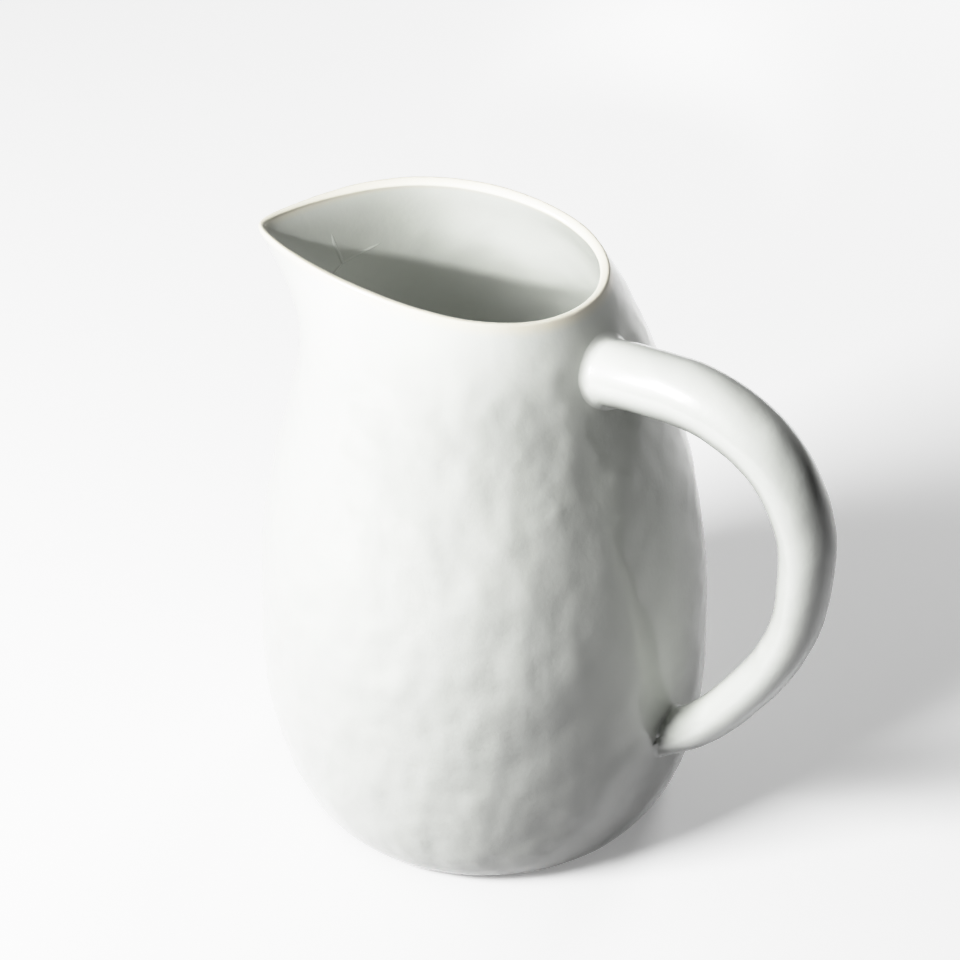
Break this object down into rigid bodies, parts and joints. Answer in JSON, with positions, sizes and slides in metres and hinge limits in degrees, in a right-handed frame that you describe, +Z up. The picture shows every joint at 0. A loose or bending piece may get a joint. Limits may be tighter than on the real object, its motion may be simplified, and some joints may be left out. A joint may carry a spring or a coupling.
{
  "type": "ceramic pitcher",
  "caption": "Hand-built white glazed stoneware pitcher with a pear-shaped body, an oval mouth with a beak spout and a thick loop handle.",
  "frame": {"origin": "centre of the flat underside of the floor slab", "axes": "+Z up, +X from the pot's axis towards the handle, +Y to the side that is on the right when the handle points away"},
  "size_m": [0.2325, 0.1694, 0.2469],
  "materials": {
    "white_glaze": "glossy white glaze over a finger-worked surface, cream where it thins on the lip",
    "bare_clay": "unglazed buff stoneware, matt and slightly sandy"
  },
  "bodies": {
    "root": {"base_slab": "bare_clay", "base_seam_coil": "white_glaze", "body_wall": "white_glaze", "spout": "white_glaze", "spout_seam_coil": "white_glaze", "handle": "white_glaze", "handle_top_joint": "white_glaze", "handle_foot_joint": "white_glaze"}
  },
  "joints": []
}
